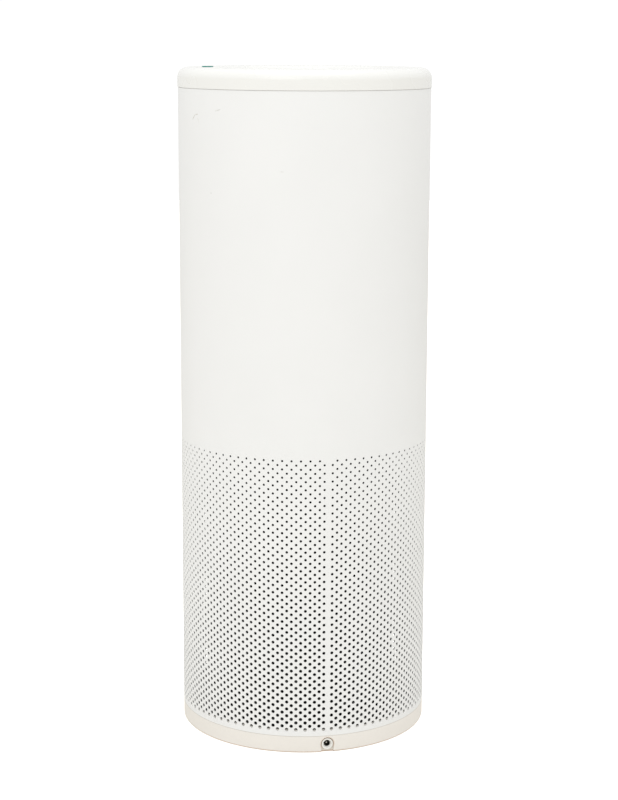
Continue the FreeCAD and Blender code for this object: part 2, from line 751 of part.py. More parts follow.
def diffuser():
    plate = cup_plate_z()
    cup = turned([(CUP_R - CUP_WALL, CUP_LOW), (CUP_R, CUP_LOW), (CUP_R, plate + 4), (0, plate + 4),
                  (0, plate), (CUP_R - CUP_WALL, plate)])
    outer = ring(diffuser_ring_in(), LINER_IN - MOVE_GAP, VANE_LOW, VANE_HIGH)
    step = 360.0 / VANES
    vanes = [curved_band(CUP_R - 1, diffuser_ring_in() + 1, VANE_FIRST + step * k, VANE_SWEEP, VANE_T,
                         VANE_LOW, VANE_HIGH) for k in range(VANES)]
    room = turned([(CUP_R - 1, VANE_LOW), (diffuser_ring_in() + 1, VANE_LOW),
                   (diffuser_ring_in() + 1, VANE_HIGH), (CUP_R - 1, plate + 3)])
    shape = fused(cup, [outer] + [vane.common(room) for vane in vanes])
    cuts = [disc(2.0, plate - 1, plate + 5, polar(DAMPER_CIRCLE_R, a)) for a in SCREW_ANGLES]
    cuts.append(Part.makeCylinder(THIN_LEAD_R + 0.4, 12, V(MOTOR_LEAD_X, -CUP_R - 4, motor_lead_z()),
                                  V(0, 1, 0)))
    return shape.cut(Part.Compound(cuts))


def diffuser_nose():
    low = cup_plate_z() + 4
    crown = CUP_R - MOVE_GAP
    rise = NOSE_RISE
    outer = turned([(0, low), (crown, low), (crown * 0.78, low + rise * 0.62, 0.001, low + rise)])
    inner = turned([(0, low), (crown - 2.5, low),
                    (crown * 0.78 - 2.2, low + rise * 0.62 - 1.6, 0.001, low + rise - 2.4)])
    return outer.cut(inner)


# ---- Funnel, grille, cap -----------------------------------------------------------------
def neck_low():
    return FUNNEL_FLANGE_Z - FUNNEL_NECK


def cone_foot():
    """Outside radius and height of the cone's lower edge."""
    return LINER_IN - MOVE_GAP, VANE_HIGH + FUNNEL_FOOT


def outlet_funnel():
    """Cone from the diffuser's rim up to the neck."""
    foot_out, foot_top = cone_foot()
    shape = turned([
        (foot_out - FUNNEL_WALL, VANE_HIGH), (foot_out, VANE_HIGH), (foot_out, foot_top),
        (OUTLET_R + FUNNEL_WALL, neck_low()), (OUTLET_R, neck_low()),
        (foot_out - FUNNEL_WALL, foot_top + 0.6)])
    cuts = [lead_hole(VANE_HIGH - 1, dc_level()),
            disc(THIN_LEAD_R + LEAD_ROOM, VANE_HIGH - 1, motor_level(), motor_lead_spot())]
    return shape.cut(Part.Compound(cuts))


def outlet_neck():
    """Short tube that holds the grille, with the flange that the cap is screwed to."""
    top = FUNNEL_FLANGE_Z + FLANGE_RING_T
    ledge = grille_low()
    shape = turned([
        (OUTLET_R, neck_low()), (OUTLET_R + FUNNEL_WALL, neck_low()),
        (OUTLET_R + FUNNEL_WALL, FUNNEL_FLANGE_Z), (FUNNEL_FLANGE_R, FUNNEL_FLANGE_Z),
        (FUNNEL_FLANGE_R, top), (OUTLET_R, top), (OUTLET_R, ledge), (OUTLET_R - LEDGE_W, ledge),
        (OUTLET_R - LEDGE_W, ledge - 2), (OUTLET_R, ledge - 2 - LEDGE_W)])
    cuts = [disc(1.7, FUNNEL_FLANGE_Z - 1, top + 1, polar(cap_boss_circle(), a)) for a in SCREW_ANGLES]
    cuts.append(arc_block(FUNNEL_FLANGE_R - 12, FUNNEL_FLANGE_R + 1, FUNNEL_FLANGE_Z - 1, top + 1, 12, 180))
    return shape.cut(Part.Compound(cuts))


def grille_low():
    return FUNNEL_FLANGE_Z - GRILLE_T - 4


def outlet_grille():
    low = grille_low()
    high = low + GRILLE_T
    rim_r = OUTLET_R - MOVE_GAP
    rim = ring(rim_r - GRILLE_RING_T, rim_r, low, high)
    hub = disc(GRILLE_HUB_R, low + 2, high)
    span = rim_r - GRILLE_RING_T - GRILLE_HUB_R
    hoops = [ring(GRILLE_HUB_R + span * k / 3 - 0.8, GRILLE_HUB_R + span * k / 3 + 0.8,
                  high - 5, high - 1.5) for k in (1, 2)]
    step = 360.0 / GRILLE_FINS
    fins = [curved_band(GRILLE_HUB_R - 1, rim_r - GRILLE_RING_T + 1, step * k, FIN_SWEEP, FIN_T,
                        low + 2, high - 1) for k in range(GRILLE_FINS)]
    return fused(rim, [hub] + hoops + fins)


def grille_cap():
    low = grille_low() + GRILLE_T
    radius = GRILLE_HUB_R - 0.5
    return turned([(0, low), (radius, low), (radius, low + 1.2),
                   (radius * 0.55, low + 2.9, 0.001, low + 3.4)])


def cap_boss_circle():
    return (KEY_RING_R + FUNNEL_FLANGE_R) / 2 - 3.0


def rim_x():
    """Where the flat top of the cap turns down into the rounded rim of the outlet."""
    return OUTLET_R + RIM_INNER_R


def outlet_rim():
    high = CAP_HIGH
    wall = CAP_WALL
    outer = arc_mid(rim_x(), high - RIM_INNER_R, RIM_INNER_R, 135)
    inner = arc_mid(rim_x(), high - RIM_INNER_R, RIM_INNER_R - wall, 135)
    foot = FUNNEL_FLANGE_Z + FLANGE_RING_T
    return turned([
        (OUTLET_R, foot), (OUTLET_R + wall, foot), (OUTLET_R + wall, high - RIM_INNER_R),
        (inner[0], inner[1], rim_x(), high - wall), (rim_x(), high),
        (outer[0], outer[1], OUTLET_R, high - RIM_INNER_R)])


def top_cap():
    high = CAP_HIGH
    corner = CAP_CORNER_R
    wall = CAP_WALL
    plate_in = rim_x() + SEAM_GAP
    outer_mid = arc_mid(CAP_R - corner, high - corner, corner, 45)
    under_mid = arc_mid(CAP_R - corner, high - corner, corner - wall, 45)
    foot = FUNNEL_FLANGE_Z + FLANGE_RING_T
    shape = turned([
        (CAP_R - wall, CAP_LOW), (CAP_R - EDGE_BREAK, CAP_LOW), (CAP_R, CAP_LOW + EDGE_BREAK),
        (CAP_R, high - corner), (outer_mid[0], outer_mid[1], CAP_R - corner, high),
        (plate_in, high), (plate_in, high - wall), (CAP_R - corner, high - wall),
        (under_mid[0], under_mid[1], CAP_R - wall, high - corner)])
    skirt_out = LINER_IN - 0.4
    skirt = ring(skirt_out - 2.4, skirt_out, CAP_LOW - 7, high - wall + 0.5)
    bosses = [disc(4.5, foot, high - wall + 0.5, polar(cap_boss_circle(), a)) for a in SCREW_ANGLES]
    posts = [disc(3.2, PANEL_BOARD_TOP, high - wall + 0.5, spot) for spot in panel_screw_spots()]
    shape = fused(shape, [skirt] + bosses + posts)
    cuts = [disc(1.5, foot - 1, foot + 9, polar(cap_boss_circle(), a)) for a in SCREW_ANGLES]
    for radius, angle, _ in KEYS.values():
        cuts.append(disc(radius + KEY_CLEAR, high - wall - 1, high + 1, polar(KEY_RING_R, angle)))
    for spot in lens_spots():
        cuts.append(disc(LENS_R, high - wall - 1, high + 1, spot))
    for spot in panel_screw_spots():
        cuts.append(disc(1.0, PANEL_BOARD_TOP - 1, high - wall - 0.6, spot))
    return shape.cut(Part.Compound(cuts))


def cap_screws():
    return Part.Compound([screw(polar(cap_boss_circle(), a, FUNNEL_FLANGE_Z), 1.5, 2.9, 2.2, 11.0)
                          for a in SCREW_ANGLES])


# ---- Keys and their board ----------------------------------------------------------------
KEYS = {
    "power": (POWER_KEY_R, 180.0, POWER_KEY_PROUD),
    "speed": (SIDE_KEY_R, 180.0 + KEY_STEP, SIDE_KEY_PROUD),
    "mode": (SIDE_KEY_R, 180.0 - KEY_STEP, SIDE_KEY_PROUD),
}


def lens_spots():
    return [polar(KEY_RING_R + 10.5, 180.0 + step * 3.2) for step in (-1.5, -0.5, 0.5, 1.5)]


def panel_screw_spots():
    return [polar(KEY_RING_R, 180.0 + side * (PANEL_ARC / 2 - 3.5)) for side in (-1, 1)]


def key(name):
    radius, angle, proud = KEYS[name]
    flange_top = CAP_HIGH - CAP_WALL - MOVE_GAP
    flange_low = flange_top - KEY_FLANGE_T
    top = CAP_HIGH + proud
    edge = 0.25
    stem_low = PANEL_BOARD_TOP + 1.2 + 0.3 + KEY_TRAVEL + 0.1
    shape = turned([(0, stem_low), (1.6, stem_low), (1.6, flange_low), (radius + KEY_FLANGE, flange_low),
                    (radius + KEY_FLANGE, flange_top), (radius, flange_top), (radius, top - edge),
                    (radius - edge, top), (0, top)])
    shape.translate(polar(KEY_RING_R, angle))
    return shape


def key_dome(name):
    """Silicone return dome between the board and the key's flange."""
    low = PANEL_BOARD_TOP
    high = low + DOME_HIGH
    foot_high = low + DOME_WALL
    shape = turned([
        (DOME_FOOT_R - 1.5, low), (DOME_FOOT_R, low), (DOME_FOOT_R, foot_high),
        (DOME_TOP_R, high - DOME_WALL), (DOME_TOP_R, high), (DOME_TOP_R - DOME_WALL, high),
        (DOME_TOP_R - DOME_WALL, high - DOME_WALL), (DOME_FOOT_R - 1.5, foot_high)])
    shape.translate(polar(KEY_RING_R, KEYS[name][1]))
    return shape


def panel_board():
    top = PANEL_BOARD_TOP
    shape = arc_block(KEY_RING_R - 9, KEY_RING_R + 13, top - BOARD_T, top, PANEL_ARC, 180.0)
    cuts = [disc(1.2, top - BOARD_T - 1, top + 1, spot) for spot in panel_screw_spots()]
    return shape.cut(Part.Compound(cuts))


def tact_switches():
    top = PANEL_BOARD_TOP
    solids = []
    for _, angle, _ in KEYS.values():
        body = radial_block(KEY_RING_R - 2.2, KEY_RING_R + 2.2, 4.4, top, top + 1.2, angle)
        nub = disc(1.0, top + 1.0, top + 1.5, polar(KEY_RING_R, angle))
        solids.append(body.fuse(nub).removeSplitter())
    return Part.Compound(solids)


def indicator_lenses():
    low = CAP_HIGH - CAP_WALL - 1.5
    solids = []
    for spot in lens_spots():
        stem = disc(LENS_R, low, CAP_HIGH, spot)
        flange = disc(LENS_R + 0.8, low, low + 1.5, spot)
        solids.append(stem.fuse(flange).removeSplitter())
    return Part.Compound(solids)


def panel_screws():
    low = PANEL_BOARD_TOP - BOARD_T
    return Part.Compound([screw(V(spot.x, spot.y, low), 1.0, 2.0, 1.4, 5.0)
                          for spot in panel_screw_spots()])


# ---- Main board --------------------------------------------------------------------------
def main_board():
    low, high = board_z()
    x = board_x()
    shape = block(V(x - BOARD_T, -36, low), V(x, 36, high))
    cuts = [Part.makeCylinder(1.4, 4, V(x - 3, y, z), V(1, 0, 0)) for y, z in board_post_spots()]
    return shape.cut(Part.Compound(cuts))


def board_components():
    low, high = board_z()
    x = board_x()
    solids = [
        block(V(x, -6, low + 26), V(x + 1.2, 6, low + 38)),
        block(V(x, 14, low + 24), V(x + 2.4, 24, low + 36)),
        block(V(x, -8, high - 6), V(x + 3.0, 8, high)),
    ]
    for y in (-24.0, -16.0):
        solids.append(Part.makeCylinder(3.0, 5.0, V(x, y, low + 44), V(1, 0, 0)))
    outside = x - BOARD_T
    for y in (DC_PLUG_Y, MOTOR_PLUG_Y):
        solids.append(block(V(outside - 5, y - 4, low), V(outside, y + 4, low + 7)))
    return Part.Compound(solids)


def board_screws():
    x = board_x()
    solids = []
    for y, z in board_post_spots():
        shank = Part.makeCylinder(1.25, 8.0, V(x - 8.0, y, z), V(1, 0, 0))
        head = Part.makeCylinder(2.5, 1.8, V(x, y, z), V(1, 0, 0))
        solids.append(shank.fuse(head).removeSplitter())
    return Part.Compound(solids)


# ---- Leads -------------------------------------------------------------------------------
DC_PLUG_Y = 8.0
MOTOR_PLUG_Y = -8.0
MOTOR_LEAD_X = -8.0


def motor_lead_z():
    return MOUNT_Z + MOUNT_T + 3.0


def motor_lead_spot():
    return V(MOTOR_LEAD_X, -(LEAD_R - MOTOR_LEAD_INSET), 0)


def dc_level():
    """Height at which the cone has narrowed enough for the power lead to turn off round it."""
    foot_out, foot_top = cone_foot()
    narrowed = foot_out - (LEAD_R - DC_LEAD_R - RUN_CLEAR)
    return foot_top + narrowed * (neck_low() - foot_top) / (foot_out - OUTLET_R - FUNNEL_WALL)


def motor_level():
    return dc_level() + LEAD_STEP


def plug_point(y):
    return V(board_x() - BOARD_T - 2.5, y, board_z()[0])


def dc_lead():
    """From the jack board straight up the seam rib, round the duct and up into the main board."""
    end = plug_point(DC_PLUG_Y)
    points = [V(0, -LEAD_R, JACK_Z + JACK_BODY_R + BOARD_T), V(0, -LEAD_R, dc_level())]
    points += ring_run(dc_level(), end)
    points.append(end)
    bends = [LEAD_BEND] + [LEAD_BEND * 2.5] * (len(points) - 4) + [6.0]
    return tube_along(points, bends, DC_LEAD_R, "dc_lead")


def ring_run(level, end):
    """Corners of a level run from the back of the duct round to below a plug on the board."""
    spots = []
    for angle in (-112.0, -136.0, -160.0):
        spots.append(polar(LEAD_R + 1.5, angle, level))
    spots.append(V(end.x, end.y, level))
    return spots


def motor_lead():
    spot = motor_lead_spot()
    end = plug_point(MOTOR_PLUG_Y)
    points = [V(spot.x, -CUP_R + 14, motor_lead_z()), spot + UP * motor_lead_z(), spot + UP * motor_level()]
    points += ring_run(motor_level(), end)
    points.append(end)
    bends = [8.0, LEAD_BEND] + [LEAD_BEND * 2.0] * (len(points) - 5) + [6.0]
    return tube_along(points, bends, THIN_LEAD_R, "motor_lead")


def panel_lead():
    top = board_z()[1]
    x = board_x() + 1.5
    start = V(x, 0, top)
    end = V(x, 0, PANEL_BOARD_TOP - BOARD_T)
    return Part.makeCylinder(THIN_LEAD_R, end.z - start.z, start, UP)


def lead_clips():
    span = (DECK_Z - COLLAR_HIGH) / 5
    solids = []
    for k in range(1, 5):
        z = COLLAR_HIGH + span * k + 8
        clip = ring(DC_LEAD_R, DC_LEAD_R + CLIP_T, z, z + 6, V(0, -LEAD_R, 0))
        solids.append(clip)
    return Part.Compound(solids)


PARTS = {
    "body_shell": body_shell,
    "base_ring": base_ring,
    "rubber_feet": rubber_feet,
    "base_screws": base_screws,
    "keeper_plates": keeper_plates,
    "jack_body": jack_body,
    "jack_sleeve": jack_sleeve,
    "jack_pin": jack_pin,
    "jack_board": jack_board,
    "bottom_cover": bottom_cover,
    "cover_magnets": cover_magnets,
    "filter_lower_cap": lambda: filter_cap(filter_low(), True),
    "filter_upper_cap": lambda: filter_cap(media_high(), False),
    "filter_media": filter_media,
    "carbon_layer": carbon_layer,
    "prefilter_mesh": prefilter_mesh,
    "filter_core": filter_core,
    "filter_gasket": filter_gasket,
    "cage_foot": cage_foot,
    "cage_staves": cage_staves,
    "cage_hoops": cage_hoops,
    "fan_deck": fan_deck,
    "deck_screws": deck_screws,
    "duct_liner": duct_liner,
    "fan_impeller": fan_impeller,
    "motor_shaft": motor_shaft,
    "rotor_bell": rotor_bell,
    "rotor_magnets": rotor_magnets,
    "motor_stator": motor_stator,
    "stator_windings": stator_windings,
    "motor_bearings": motor_bearings,
    "motor_mount": motor_mount,
    "motor_dampers": motor_dampers,
    "motor_screws": motor_screws,
    "diffuser": diffuser,
    "diffuser_nose": diffuser_nose,
    "outlet_funnel": outlet_funnel,
    "outlet_neck": outlet_neck,
    "outlet_grille": outlet_grille,
    "grille_cap": grille_cap,
    "outlet_rim": outlet_rim,
    "top_cap": top_cap,
    "cap_screws": cap_screws,
    "power_button": lambda: key("power"),
    "speed_key": lambda: key("speed"),
    "mode_key": lambda: key("mode"),
    "power_dome": lambda: key_dome("power"),
    "speed_dome": lambda: key_dome("speed"),
    "mode_dome": lambda: key_dome("mode"),
    "panel_board": panel_board,
    "tact_switches": tact_switches,
    "indicator_lenses": indicator_lenses,
    "panel_screws": panel_screws,
    "main_board": main_board,
    "board_components": board_components,
    "board_screws": board_screws,
    "dc_lead": dc_lead,
    "motor_lead": motor_lead,
    "panel_lead": panel_lead,
    "lead_clips": lead_clips,
}

os.makedirs("parts", exist_ok=True)
for part_name, make in PARTS.items():
    save(part_name, make())
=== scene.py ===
import json
import math

import bmesh
import bpy
from mathutils import Matrix, Vector


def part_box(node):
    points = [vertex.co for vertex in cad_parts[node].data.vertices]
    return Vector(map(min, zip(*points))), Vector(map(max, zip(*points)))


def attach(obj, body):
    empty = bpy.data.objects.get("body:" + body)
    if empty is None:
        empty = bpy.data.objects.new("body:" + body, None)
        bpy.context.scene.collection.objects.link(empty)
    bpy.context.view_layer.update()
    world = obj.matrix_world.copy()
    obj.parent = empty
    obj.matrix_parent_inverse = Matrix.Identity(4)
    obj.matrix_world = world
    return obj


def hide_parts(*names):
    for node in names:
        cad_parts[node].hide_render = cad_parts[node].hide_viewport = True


# Tower air purifier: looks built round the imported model. Metres. +Z up, the jack faces -Y.

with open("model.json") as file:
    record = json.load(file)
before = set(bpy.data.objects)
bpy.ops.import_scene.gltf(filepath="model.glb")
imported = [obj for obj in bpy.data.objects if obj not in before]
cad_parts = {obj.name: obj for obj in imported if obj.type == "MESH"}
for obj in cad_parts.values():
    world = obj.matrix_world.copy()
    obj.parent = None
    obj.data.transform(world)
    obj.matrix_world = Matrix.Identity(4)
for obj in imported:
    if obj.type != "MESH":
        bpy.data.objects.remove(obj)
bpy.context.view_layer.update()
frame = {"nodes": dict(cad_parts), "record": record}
MM = 0.001

# ---- Places taken from the frame ---------------------------------------------------------
SHEET_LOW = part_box("body_shell")[0][2]
SHEET_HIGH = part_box("body_shell")[1][2]
BODY_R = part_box("body_shell")[1][0]
SHEET_T = 0.8 * MM
CAP_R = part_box("top_cap")[1][0]
CAP_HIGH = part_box("top_cap")[1][2]
CAP_CORNER_R = 10 * MM
RIM_CREST_R = CAP_R - 41.5 * MM
RIM_INNER_R = 8 * MM
BASE_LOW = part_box("base_ring")[0][2]
BASE_EDGE_R = 1.6 * MM
CORE_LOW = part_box("filter_core")[0][2]
CORE_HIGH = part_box("filter_core")[1][2]
CORE_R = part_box("filter_core")[1][0]
CORE_WALL = 2 * MM
JACK_Z = 9.0 * MM
NOTCH_R = 6.1 * MM
SEAM = -math.pi / 2

# ---- Perforation -------------------------------------------------------------------------
HOLE_COLUMNS = 171
HOLE_ROWS = 37
SEAM_GAP_PITCHES = 1.747
COLUMN_PITCH = 2 * math.pi / (HOLE_COLUMNS - 1 + SEAM_GAP_PITCHES)
FIRST_ROW_Z = 24.3 * MM
ROW_PITCH = 7.005 * MM
ROW_STRETCH = 10.97 * MM
ROW_STRETCH_POWER = 3.6
HOLE_D_LOW = 3.5 * MM
HOLE_D_HIGH = 2.2 * MM
HOLE_SIDES = 12
SHEET_SECTORS = 3

# ---- Slots of the filter's core -----------------------------------------------------------
CORE_COLUMNS = 12
CORE_LEVELS = 5
CORE_STEPS = 8            # narrow faces round each column, of which CORE_OPEN are open
CORE_OPEN = 5
CORE_BAR = 4 * MM


def row_z(row):
    stretch = max(row, 0) / (HOLE_ROWS - 1)
    return FIRST_ROW_Z + ROW_PITCH * row + ROW_STRETCH * stretch ** ROW_STRETCH_POWER


def hole_radius(row):
    return (HOLE_D_LOW + (HOLE_D_HIGH - HOLE_D_LOW) * row / (HOLE_ROWS - 1)) / 2


# ---- Node groups shared by the materials --------------------------------------------------
def new_group(name, inputs, outputs):
    group = bpy.data.node_groups.new(name, "ShaderNodeTree")
    for label, kind, value in inputs:
        socket = group.interface.new_socket(name=label, in_out="INPUT", socket_type=kind)
        if value is not None:
            socket.default_value = value
    for label, kind in outputs:
        group.interface.new_socket(name=label, in_out="OUTPUT", socket_type=kind)
    return group


def add(tree, kind, **values):
    node = tree.nodes.new(kind)
    for key, value in values.items():
        if hasattr(node, key):
            setattr(node, key, value)
        else:
            node.inputs[key.replace("_", " ")].default_value = value
    return node


def mixed(tree, factor, low, high):
    """Colour mix node. Each side is a socket or a colour."""
    node = tree.nodes.new("ShaderNodeMix")
    node.data_type = "RGBA"
    for index, value in ((0, factor), (6, low), (7, high)):
        if isinstance(value, bpy.types.NodeSocket):
            tree.links.new(value, node.inputs[index])
        elif index == 0:
            node.inputs[0].default_value = value
        else:
            node.inputs[index].default_value = (*value[:3], 1)
    return node.outputs[2]


def stretched(tree, value, from_low, from_high, to_low, to_high):
    node = add(tree, "ShaderNodeMapRange", From_Min=from_low, From_Max=from_high,
               To_Min=to_low, To_Max=to_high)
    tree.links.new(value, node.inputs["Value"])
    return node.outputs["Result"]


def make_surface_group():
    """Moulded or coated surface: cloudy tone and roughness, and a fine grain for the bump."""
    group = new_group(
        "coated_surface",
        [("Tone A", "NodeSocketColor", (1, 1, 1, 1)), ("Tone B", "NodeSocketColor", (1, 1, 1, 1)),
         ("Cloud Scale", "NodeSocketFloat", 12.0), ("Grain Scale", "NodeSocketFloat", 1500.0),
         ("Rough Low", "NodeSocketFloat", 0.3), ("Rough High", "NodeSocketFloat", 0.4)],
        [("Color", "NodeSocketColor"), ("Roughness", "NodeSocketFloat"), ("Height", "NodeSocketFloat")])
    tree = group
    source = tree.nodes.new("NodeGroupInput")
    sink = tree.nodes.new("NodeGroupOutput")
    place = tree.nodes.new("ShaderNodeTexCoord")
    cloud = add(tree, "ShaderNodeTexNoise", Detail=3.0, Roughness=0.55)
    grain = add(tree, "ShaderNodeTexNoise", Detail=2.0, Roughness=0.6)
    for noise, scale in ((cloud, "Cloud Scale"), (grain, "Grain Scale")):
        tree.links.new(place.outputs["Object"], noise.inputs["Vector"])
        tree.links.new(source.outputs[scale], noise.inputs["Scale"])
    spread = stretched(tree, cloud.outputs["Fac"], 0.3, 0.7, 0.0, 1.0)
    colour = mixed(tree, spread, source.outputs["Tone A"], source.outputs["Tone B"])
    rough = tree.nodes.new("ShaderNodeMapRange")
    tree.links.new(cloud.outputs["Fac"], rough.inputs["Value"])
    rough.inputs["From Min"].default_value = 0.3
    rough.inputs["From Max"].default_value = 0.7
    tree.links.new(source.outputs["Rough Low"], rough.inputs["To Min"])
    tree.links.new(source.outputs["Rough High"], rough.inputs["To Max"])
    tree.links.new(colour, sink.inputs["Color"])
    tree.links.new(rough.outputs["Result"], sink.inputs["Roughness"])
    tree.links.new(grain.outputs["Fac"], sink.inputs["Height"])
    return group


SURFACE = make_surface_group()


def coated(name, tone_a, tone_b, rough=(0.3, 0.4), grain=1500.0, bump=0.05, cloud=12.0, **shader):
    """Material with the shared surface group. Extra names are sockets of the shader."""
    material = bpy.data.materials.new(name)
    material.use_nodes = True
    tree = material.node_tree
    principled = tree.nodes["Principled BSDF"]
    group = tree.nodes.new("ShaderNodeGroup")
    group.node_tree = SURFACE
    group.name = "surface"
    values = {"Tone A": (*tone_a, 1), "Tone B": (*tone_b, 1), "Cloud Scale": cloud,
              "Grain Scale": grain, "Rough Low": rough[0], "Rough High": rough[1]}
    for key, value in values.items():
        group.inputs[key].default_value = value
    relief = add(tree, "ShaderNodeBump", Strength=bump, Distance=0.0002)
    tree.links.new(group.outputs["Color"], principled.inputs["Base Color"])
    tree.links.new(group.outputs["Roughness"], principled.inputs["Roughness"])
    tree.links.new(group.outputs["Height"], relief.inputs["Height"])
    tree.links.new(relief.outputs["Normal"], principled.inputs["Normal"])
    for key, value in shader.items():
        principled.inputs[key.replace("_", " ")].default_value = value
    return material


def scuff_mask(tree, place, centre, half, turn):
    """Soft-edged oval streak on the sheet, as a mask from 0 to 1."""
    spot = tree.nodes.new("ShaderNodeMapping")
    spot.vector_type = "TEXTURE"
    spot.inputs["Location"].default_value = centre
    spot.inputs["Rotation"].default_value = turn
    spot.inputs["Scale"].default_value = half
    tree.links.new(place, spot.inputs["Vector"])
    away = add(tree, "ShaderNodeVectorMath", operation="LENGTH")
    tree.links.new(spot.outputs["Vector"], away.inputs[0])
    return stretched(tree, away.outputs["Value"], 0.55, 1.0, 1.0, 0.0)


def make_sheet_paint():
    """White powder coat with orange peel, and the few grey scuffs near the top."""
    material = coated("white_powder_coat", (0.885, 0.890, 0.894), (0.905, 0.909, 0.914),
                      rough=(0.34, 0.42), grain=900.0, bump=0.10, cloud=9.0, IOR=1.45)
    tree = material.node_tree
    principled = tree.nodes["Principled BSDF"]
    place = tree.nodes.new("ShaderNodeTexCoord").outputs["Object"]
    colour = tree.nodes["surface"].outputs["Color"]
    breakup = add(tree, "ShaderNodeTexNoise", Scale=420.0, Detail=3.0)
    tree.links.new(place, breakup.inputs["Vector"])
    speckle = stretched(tree, breakup.outputs["Fac"], 0.42, 0.56, 0.35, 1.0)
    for angle, height, half, tilt, tone, strength in SCUFFS:
        theta = math.radians(angle)
        centre = (BODY_R * math.cos(theta), BODY_R * math.sin(theta), height)
        mask = scuff_mask(tree, place, centre, half, (0.0, math.radians(tilt), theta + math.pi / 2))
        worn = add(tree, "ShaderNodeMath", operation="MULTIPLY")
        tree.links.new(mask, worn.inputs[0])
        tree.links.new(speckle, worn.inputs[1])
        faded = add(tree, "ShaderNodeMath", operation="MULTIPLY")
        tree.links.new(worn.outputs[0], faded.inputs[0])
        faded.inputs[1].default_value = strength
        colour = mixed(tree, faded.outputs[0], colour, tone)
    tree.links.new(colour, principled.inputs["Base Color"])
    return material


# angle round the body, height, half sizes along/through/up, tilt, tone, strength
SCUFFS = [
    (-159.0, 0.6105, (0.0044, 0.004, 0.0007), -44.0, (0.44, 0.41, 0.33), 0.65),
    (-156.6, 0.6132, (0.0028, 0.004, 0.0006), -6.0, (0.44, 0.41, 0.33), 0.65),
    (-155.2, 0.6075, (0.0036, 0.004, 0.0005), 62.0, (0.60, 0.58, 0.50), 0.45),
    (-141.9, 0.6180, (0.0046, 0.004, 0.0006), -14.0, (0.50, 0.49, 0.45), 0.5),
    (-146.5, 0.5410, (0.0008, 0.004, 0.0008), 0.0, (0.40, 0.38, 0.34), 0.6),
    (-110.8, 0.5634, (0.0024, 0.004, 0.0005), 0.0, (0.58, 0.57, 0.54), 0.35),
]



WARM_WHITES = (0.875, 0.842, 0.80), (0.905, 0.870, 0.833)
# tan of the painted warm shade and reflected floor tone on the base's edges
BASE_SHADE_TAN = (0.58, 0.39, 0.25)
# grey of the painted shadow line along the joint between sheet and base
JOINT_SHADOW_GREY = (0.52, 0.50, 0.46)


def make_base_moulding():
    """Warm white moulding, with painted warm shade and reflected floor tone in tan along its lower edge
    and round the jack's notch, and a painted shadow line under the sheet's foot.
    """
    material = coated("base_moulding", *WARM_WHITES, rough=(0.36, 0.46), grain=2600.0, bump=0.06)
    tree = material.node_tree
    principled = tree.nodes["Principled BSDF"]
    place = tree.nodes.new("ShaderNodeTexCoord").outputs["Object"]
    axes = tree.nodes.new("ShaderNodeSeparateXYZ")
    tree.links.new(place, axes.inputs[0])
    # painted warm shade and reflection: tan towards the lower edge and round the jack's notch
    foot = stretched(tree, axes.outputs["Z"], BASE_LOW + 0.6 * MM, BASE_LOW + 2.0 * MM, 1.0, 0.0)
    flat = add(tree, "ShaderNodeVectorMath", operation="MULTIPLY")
    flat.inputs[1].default_value = (1.0, 0.0, 1.0)
    tree.links.new(place, flat.inputs[0])
    away = add(tree, "ShaderNodeVectorMath", operation="DISTANCE")
    away.inputs[1].default_value = (0.0, 0.0, JACK_Z)
    tree.links.new(flat.outputs[0], away.inputs[0])
    notch = stretched(tree, away.outputs["Value"], NOTCH_R, NOTCH_R + 1.6 * MM, 1.0, 0.0)
    front = stretched(tree, axes.outputs["Y"], -BODY_R + 2 * MM, -BODY_R + 4 * MM, 1.0, 0.0)
    near_jack = add(tree, "ShaderNodeMath", operation="MULTIPLY")
    tree.links.new(notch, near_jack.inputs[0])
    tree.links.new(front, near_jack.inputs[1])
    painted_warm_shade = add(tree, "ShaderNodeMath", operation="MAXIMUM")
    tree.links.new(foot, painted_warm_shade.inputs[0])
    tree.links.new(near_jack.outputs[0], painted_warm_shade.inputs[1])
    faint = add(tree, "ShaderNodeMath", operation="MULTIPLY")
    faint.inputs[1].default_value = 0.7
    tree.links.new(painted_warm_shade.outputs[0], faint.inputs[0])
    colour = mixed(tree, faint.outputs[0], tree.nodes["surface"].outputs["Color"], BASE_SHADE_TAN)
    # painted shadow line: grey just under the sheet's foot, where the joint between sheet and base is in
    # shade
    joint_shadow = stretched(tree, axes.outputs["Z"], SHEET_LOW - 0.9 * MM, SHEET_LOW - 0.2 * MM, 0.0, 0.6)
    colour = mixed(tree, joint_shadow, colour, JOINT_SHADOW_GREY)
    tree.links.new(colour, principled.inputs["Base Color"])
    return material


PAINT = make_sheet_paint()
CAP_WHITE = coated("cap_gloss_white", (0.885, 0.885, 0.868), (0.905, 0.905, 0.888), rough=(0.22, 0.30),
                   grain=2200.0, bump=0.03, IOR=1.46)
BASE_MOULDING = make_base_moulding()
BASE_WHITE = coated("base_warm_white", *WARM_WHITES, rough=(0.36, 0.46), grain=2600.0, bump=0.06)
TEAL = coated("teal_button", (0.012, 0.20, 0.16), (0.016, 0.25, 0.21), rough=(0.2, 0.28), bump=0.02,
              Coat_Weight=0.4)
BLACK = coated("black_moulding", (0.012, 0.012, 0.013), (0.02, 0.02, 0.021), rough=(0.5, 0.62),
               grain=1800.0, bump=0.12)
GREY = coated("grey_moulding", (0.10, 0.103, 0.107), (0.13, 0.133, 0.137), rough=(0.45, 0.55),
              grain=1800.0, bump=0.1)
JACK_WHITE = coated("jack_white", (0.90, 0.89, 0.86), (0.93, 0.92, 0.89), rough=(0.3, 0.4), bump=0.04)
NICKEL = coated("nickel", (0.60, 0.58, 0.54), (0.70, 0.68, 0.64), rough=(0.18, 0.3), bump=0.02,
                Metallic=1.0)
